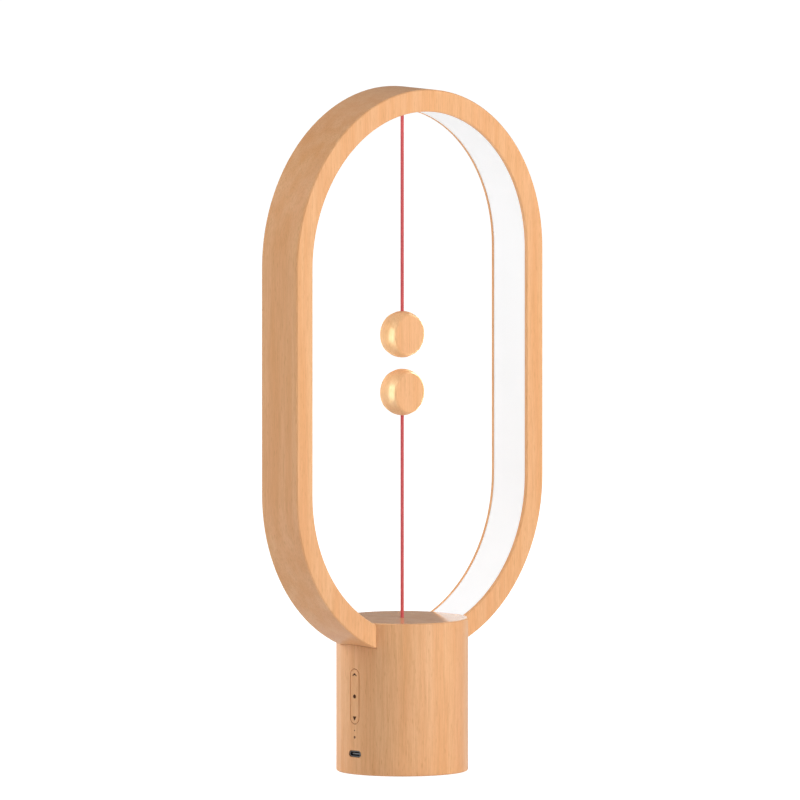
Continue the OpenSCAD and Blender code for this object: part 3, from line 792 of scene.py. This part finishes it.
def white_world(light):
    """A plain room that is darkest at the horizon, in front of a white background."""
    world = bpy.data.worlds.new("Studio")
    world.use_nodes = True
    tree = world.node_tree
    tree.nodes.clear()
    place = add(tree, "ShaderNodeTexCoord").outputs["Object"]
    height = add(tree, "ShaderNodeSeparateXYZ", {0: place}).outputs["Z"]
    level = between(tree, height, 0.0, 1.0, *light.room)
    room = output(tree, "ShaderNodeBackground", {"Color": rgba("#FFFFFF"), "Strength": level})
    white = output(tree, "ShaderNodeBackground", {"Color": rgba("#FFFFFF"), "Strength": 1.0})
    shares = {0: seen_rays(tree, light.shine), 1: room, 2: white}
    mix = output(tree, "ShaderNodeMixShader", shares)
    tree.links.new(mix, add(tree, "ShaderNodeOutputWorld").inputs[0])
    return world


def white_floor(light):
    """A matt white floor that keeps shadows, bright enough to end in plain white in the view."""
    material = bpy.data.materials.new("White floor")
    material.use_nodes = True
    tree = material.node_tree
    tree.nodes.clear()
    matt = output(tree, "ShaderNodeBsdfDiffuse", {"Color": rgba("#CCCCCC")})
    in_view, around = light.floor
    strength = between(tree, seen_rays(tree, light.shine), 0.0, 1.0, around, in_view)
    glow = output(tree, "ShaderNodeEmission", {"Color": rgba("#FFFFFF"), "Strength": strength})
    both = output(tree, "ShaderNodeAddShader", {0: matt, 1: glow})
    tree.links.new(both, add(tree, "ShaderNodeOutputMaterial").inputs[0])
    return material


def area_light(name, place, target, size, power, colour=(1, 1, 1)):
    """A rectangular light that the camera doesn't see; size is its width along Y or X, and its height."""
    data = bpy.data.lights.new(name, "AREA")
    data.color = colour
    data.shape = "RECTANGLE"
    data.size, data.size_y = size
    data.energy = power
    lamp = put(name, data)
    back = (Vector(place) - Vector(target)).normalized()
    across = Vector((0, 1, 0)) if abs(back.y) < 0.5 else Vector((1, 0, 0))
    up = back.cross(across).normalized()
    turn = Matrix((up.cross(back), up, back)).transposed().to_4x4()
    lamp.matrix_world = Matrix.Translation(place) @ turn
    lamp.visible_camera = False
    return lamp


def strip_lamps(light):
    """Lamps just in front of the milky cover, which show only in gloss, as the strip does in the balls.

    Those on the top arc and the sides light the balls alone, because they would draw a hard line on the
    wood beside them.
    """
    gap, share = 0.8 * MM, 0.9      # in front of the cover, and of the cover's width
    top_turns, low_turn = (30, 90, 150), -34        # degrees above the level, seen from an arc's middle
    reach = NOSE_RADIUS - gap
    width = (COVER_HIGH.y - COVER_LOW.y) * share
    low_z = ARC_Z - STRAIGHT
    on_top, on_sides, below = light.strip
    balls = bpy.data.collections.new("Balls")
    for name in ("upper_ball_turned", "lower_ball_turned"):
        balls.objects.link(bpy.data.objects[name])
    stretches = [(side, 0, (ARC_Z + low_z) / 2, STRAIGHT, on_sides) for side in (-1, 1)]
    stretches += [(1, turn, ARC_Z, reach, on_top) for turn in top_turns]
    stretches += [(side, low_turn, low_z, reach, below) for side in (-1, 1)]
    for i, (side, turn, middle_z, length, radiance) in enumerate(stretches):
        angle = math.radians(turn)
        middle = Vector((0, 0, middle_z))
        place = middle + Vector((side * math.cos(angle), 0, math.sin(angle))) * reach
        power = radiance * math.pi * width * length
        lamp = area_light(f"Strip {i}", place, middle, (width, length), power, light.strip_colour)
        lamp.visible_diffuse = False
        if turn >= 0:
            lamp.light_linking.receiver_collection = balls


# ------------------------------------------------------------------ operators


class LAMP_OT_set_view(Operator):
    """Puts a flat-projection camera where the lamp is seen from the key side"""

    bl_idname = "lamp.set_view"
    bl_label = "Set view"

    def execute(self, context):
        view = context.scene.lamp_view
        distance, nearest, farthest = 2.0, 0.01, 30.0
        a, e = view.azimuth, view.elevation
        ahead = Vector((math.sin(a) * math.cos(e), math.cos(a) * math.cos(e), -math.sin(e)))
        right = Vector((math.cos(a), -math.sin(a), 0))
        up = right.cross(ahead)
        lens = bpy.data.cameras.new("View")
        lens.type = "ORTHO"
        lens.ortho_scale = view.span
        lens.clip_start, lens.clip_end = nearest, farthest
        camera = put("View", lens)
        middle = Vector((0, 0, view.about)) + right * view.middle.x + up * view.middle.z
        camera.location = middle - ahead * distance
        camera.rotation_euler = ahead.to_track_quat("-Z", "Y").to_euler()
        context.scene.camera = camera
        return {"FINISHED"}


class LAMP_OT_make_cords(Operator):
    """Braids the cords of both balls and the end of the lower cord that runs into the base"""

    bl_idname = "lamp.make_cords"
    bl_label = "Braid cords"

    def execute(self, context):
        cords = context.scene.lamp_cords
        steps_a_turn = 20
        dyed = braided_polyester(cords)
        tree = braid_tree()
        upper_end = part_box("upper_cord")[0].z
        lower_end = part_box("lower_cord")[1].z
        pull_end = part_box("pull_cord")[0].z
        runs = (
            ("upper_cord_braid", upper_end, UPPER_BEND.z, "upper_pendulum", "upper_cord"),
            ("lower_cord_braid", LOWER_BEND.z, lower_end, "lower_pendulum", "lower_cord"),
            ("pull_cord_braid", pull_end, LOWER_BEND.z, "pull", "pull_cord"),
        )
        sizes = {
            "Radius": cords.diameter / 2,
            "Turn": cords.turn,
            "Width": cords.yarn[0],
            "Thickness": cords.yarn[1],
            "Step": cords.turn / steps_a_turn,
            "Yarns": cords.yarns,
            "Material": dyed,
        }
        for name, low, high, body, node in runs:
            mesh = grown(tree, {**sizes, "Low": low, "High": high}, name)
            piece_of(name, mesh, body, "cord", node)
        give(dyed, "upper_cord_root", "lower_cord_root", "upper_cord_tail")
        give(dyed, "upper_knot", "lower_knot", "pull_knot")
        return {"FINISHED"}


class LAMP_OT_finish_wood(Operator):
    """Gives the ring, base and key their lacquered beech"""

    bl_idname = "lamp.finish_wood"
    bl_label = "Finish wood"

    def execute(self, context):
        wood = context.scene.lamp_wood
        give(lacquered_beech("Beech, satin lacquer", wood), "light_ring")
        turned = lacquered_beech("Beech, satin lacquer, polished top", wood, polished_top=True)
        give(turned, "base_body", "key_cap")
        return {"FINISHED"}


class LAMP_OT_turn_balls(Operator):
    """Turns the two wooden balls, with a bevel round each flat face and a bore for magnet and knot"""

    bl_idname = "lamp.turn_balls"
    bl_label = "Turn balls"

    def execute(self, context):
        wood, balls = context.scene.lamp_wood, context.scene.lamp_balls
        for name, opens, offset in (("upper", 1, (41, 17, 5)), ("lower", -1, (-23, 9, 64))):
            node, plug, magnet = (f"{name}_{part}" for part in ("ball", "plug", "magnet"))
            label = f"Beech, polished lacquer, {name}"
            finish = lacquered_beech(label, wood, offset, roughness=0.65, polish=0.12)
            give(finish, plug, node)
            low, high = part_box(node)
            middle = (low + high) / 2
            outline = ball_outline(high.y, balls)
            solid = turned_mesh(outline, Matrix.Translation(middle) @ Matrix.Rotation(-math.pi / 2, 4, "X"))
            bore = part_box(plug)[1].x + PLUG_GAP
            # the bore ends two glue gaps behind the magnet
            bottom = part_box(magnet)[0 if opens > 0 else 1].z - opens * PLUG_GAP * 2
            drill = [(0, 0), (bore, 0), (bore, balls.diameter), (0, balls.diameter)]
            place = Matrix.Translation((0, 0, bottom)) @ Matrix.Scale(opens, 4, (0, 0, 1))
            mesh = cut(solid, turned_mesh([Vector(p) for p in drill], place))
            mesh.name = f"{name}_ball_turned"
            mesh.materials.append(finish)
            piece_of(mesh.name, mesh, f"{name}_pendulum", "wood", node)
        return {"FINISHED"}


class LAMP_OT_finish_strip(Operator):
    """Lights the milky cover, and finishes the strip behind it, the status light and the brass"""

    bl_idname = "lamp.finish_strip"
    bl_label = "Finish light strip"

    def execute(self, context):
        give(opal_cover(context.scene.lamp_light), "light_cover")
        give(moulded_plastic("Smoked acrylic", "#744A30", "#86593C", 0.2, depth=0.002), "status_lens")
        give(moulded_plastic("White solder mask", "#DEDED6", "#EBEBE6", 0.4, grit=0.6), "led_board")
        give(moulded_plastic("Yellow phosphor", "#E9D36A", "#F4E58A", 0.6, grit=0.2), "led_chips")
        give(moulded_plastic("Silicone sleeve, red", "#A3191B", "#B62224", 0.5), "led_leads")
        give(worked_metal("Turned brass", "#B98A3A", "#D9B25E", 0.3, (0.3, 0.3, 0.1)),
             "cord_anchor", "contact_leaves", "contact_ring")
        return {"FINISHED"}


class LAMP_OT_make_marks(Operator):
    """Burns the marks into the key, and the small dot over the status light"""

    bl_idname = "lamp.make_marks"
    bl_label = "Make marks"

    def execute(self, context):
        marks = context.scene.lamp_marks
        burnt = burnt_mark()
        key_low, key_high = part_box("key_cap")
        middle = (key_low.z + key_high.z) / 2
        lens_low, lens_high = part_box("status_lens")
        skin = 0.03 * MM        # how far a mark stands proud of the wood
        dot_radius, dot_rise = 0.36 * MM, 4 * MM        # the small dot, and its height over the status light
        plates = {
            "key_marks": ("key", [
                (disc_outline(marks.dot / 2), middle),
                (arrow_outline(*marks.arrow_up, 1), middle + marks.pitch),
                (arrow_outline(*marks.arrow_down, -1), middle - marks.pitch),
            ]),
            "status_mark": ("base", [
                (disc_outline(dot_radius, 16), (lens_low.z + lens_high.z) / 2 + dot_rise),
            ]),
        }
        for name, (body, shapes) in plates.items():
            bm = bmesh.new()
            for outline, height in shapes:
                stamp(bm, outline, height, BASE_RADIUS + skin, 4 * skin)
            bmesh.ops.recalc_face_normals(bm, faces=bm.faces)
            mesh = mesh_of(bm, name)
            mesh.materials.append(burnt)
            piece_of(name, mesh, body, "wood")
        return {"FINISHED"}


class LAMP_OT_finish_socket(Operator):
    """Finishes the charging socket and adds the contacts on its tongue"""

    bl_idname = "lamp.finish_socket"
    bl_label = "Finish socket"

    def execute(self, context):
        socket = context.scene.lamp_socket
        give(worked_metal("Drawn stainless steel", "#6F7276", "#9A9DA1", 0.34, (2, 0.2, 0.2)), "usb_socket")
        tongue_thickness = 0.7 * MM
        inset = 1.2 * MM        # from the socket's mouth to the contacts
        middle_z = (SOCKET_LOW.z + SOCKET_HIGH.z) / 2
        values = {
            "Count": socket.count,
            "Pitch": socket.pitch,
            "Spread": tongue_thickness + socket.pad.z,
            "Pad": tuple(socket.pad),
            "Middle": (SOCKET_LOW.x + inset + socket.pad.x / 2, 0, middle_z),
            "Material": worked_metal("Gold flash", "#D2A63C", "#E8C566", 0.25),
        }
        mesh = grown(contact_tree(), values, "usb_contacts")
        piece_of("usb_contacts", mesh, "base", "brass")
        return {"FINISHED"}


class LAMP_OT_finish_workings(Operator):
    """Finishes the switch, board, battery, chassis and fasteners inside the base"""

    bl_idname = "lamp.finish_workings"
    bl_label = "Finish workings"

    def execute(self, context):
        give(worked_metal("Nickel plate", "#B9B5AC", "#D8D5CE", 0.18, (0.6, 0.6, 0.2)),
             "upper_magnet", "lower_magnet")
        give(worked_metal("Zinc-plated steel", "#9DA3A8", "#C4C8CB", 0.36),
             "return_spring", "housing_screws", "board_screws", "tie_screws", "ring_screws")
        give(worked_metal("Rolled steel plate", "#4E5256", "#72767A", 0.45, (6, 0.5, 6)), "ballast_plate")
        give(moulded_plastic("Natural nylon", "#DDD8CB", "#EAE6DC", 0.5), "cord_bush", "pull_slider")
        give(moulded_plastic("Black ABS, moulded", "#17171A", "#212125", 0.52),
             "switch_housing", "housing_cap", "key_cradle", "key_switches", "board_parts", "bottom_cover")
        give(moulded_plastic("Light grey ABS, moulded", "#BFBFBA", "#CFCFCA", 0.55), "key_guide", "chassis")
        give(moulded_plastic("Green solder mask", "#1C4D2C", "#286A3D", 0.35, grit=0.8), "control_board")
        give(moulded_plastic("Silicone sleeve, black", "#101013", "#1B1B1F", 0.5), "wiring")
        give(crinkled_foil(), "battery_cell")
        give(pressed_felt(), "foot_pad")
        return {"FINISHED"}


class LAMP_OT_set_stage(Operator):
    """Lays the white floor and sets the studio light and the lamp's own light"""

    bl_idname = "lamp.set_stage"
    bl_label = "Set stage"

    def execute(self, context):
        light, view = context.scene.lamp_light, context.scene.lamp_view
        floor_reach = 12.0
        context.scene.view_settings.view_transform = "Standard"
        context.scene.world = white_world(light)
        bm = bmesh.new()
        bmesh.ops.create_grid(bm, x_segments=1, y_segments=1, size=floor_reach)
        mesh = mesh_of(bm, "floor")
        mesh.materials.append(white_floor(light))
        floor = put("floor", mesh)
        middle = Vector((0, 0, view.about))
        area_light("Key light", light.key_place, middle, light.panel, light.key)
        fill = area_light("Fill light", light.fill_place, middle, light.panel, light.fill)
        fill.visible_glossy = False
        strip_lamps(light)
        return {"FINISHED"}


class LAMP_PT_maker(Panel):
    """Lists the steps that finish the lamp"""

    bl_idname = "LAMP_PT_maker"
    bl_label = "Balance Lamp"
    bl_space_type = "VIEW_3D"
    bl_region_type = "UI"
    bl_category = "Lamp"

    def draw(self, context):
        for step in STEPS:
            self.layout.operator(step.bl_idname)


SETTINGS = (
    ("lamp_view", LampView),
    ("lamp_light", LampLight),
    ("lamp_wood", LampWood),
    ("lamp_balls", LampBalls),
    ("lamp_cords", LampCords),
    ("lamp_marks", LampMarks),
    ("lamp_socket", LampSocket),
)
STEPS = (
    LAMP_OT_set_view,
    LAMP_OT_make_cords,
    LAMP_OT_finish_wood,
    LAMP_OT_turn_balls,
    LAMP_OT_finish_strip,
    LAMP_OT_make_marks,
    LAMP_OT_finish_socket,
    LAMP_OT_finish_workings,
    LAMP_OT_set_stage,
)


def register():
    for name, group in SETTINGS:
        bpy.utils.register_class(group)
        setattr(bpy.types.Scene, name, PointerProperty(type=group))
    for item in (*STEPS, LAMP_PT_maker):
        bpy.utils.register_class(item)


def unregister():
    for item in reversed((*STEPS, LAMP_PT_maker)):
        bpy.utils.unregister_class(item)
    for name, group in reversed(SETTINGS):
        delattr(bpy.types.Scene, name)
        bpy.utils.unregister_class(group)


def main():
    register()
    bpy.ops.lamp.set_view()
    bpy.ops.lamp.make_cords()
    bpy.ops.lamp.finish_wood()
    bpy.ops.lamp.turn_balls()
    bpy.ops.lamp.finish_strip()
    bpy.ops.lamp.make_marks()
    bpy.ops.lamp.finish_socket()
    bpy.ops.lamp.finish_workings()
    bpy.ops.lamp.set_stage()


if __name__ == "__main__":
    main()
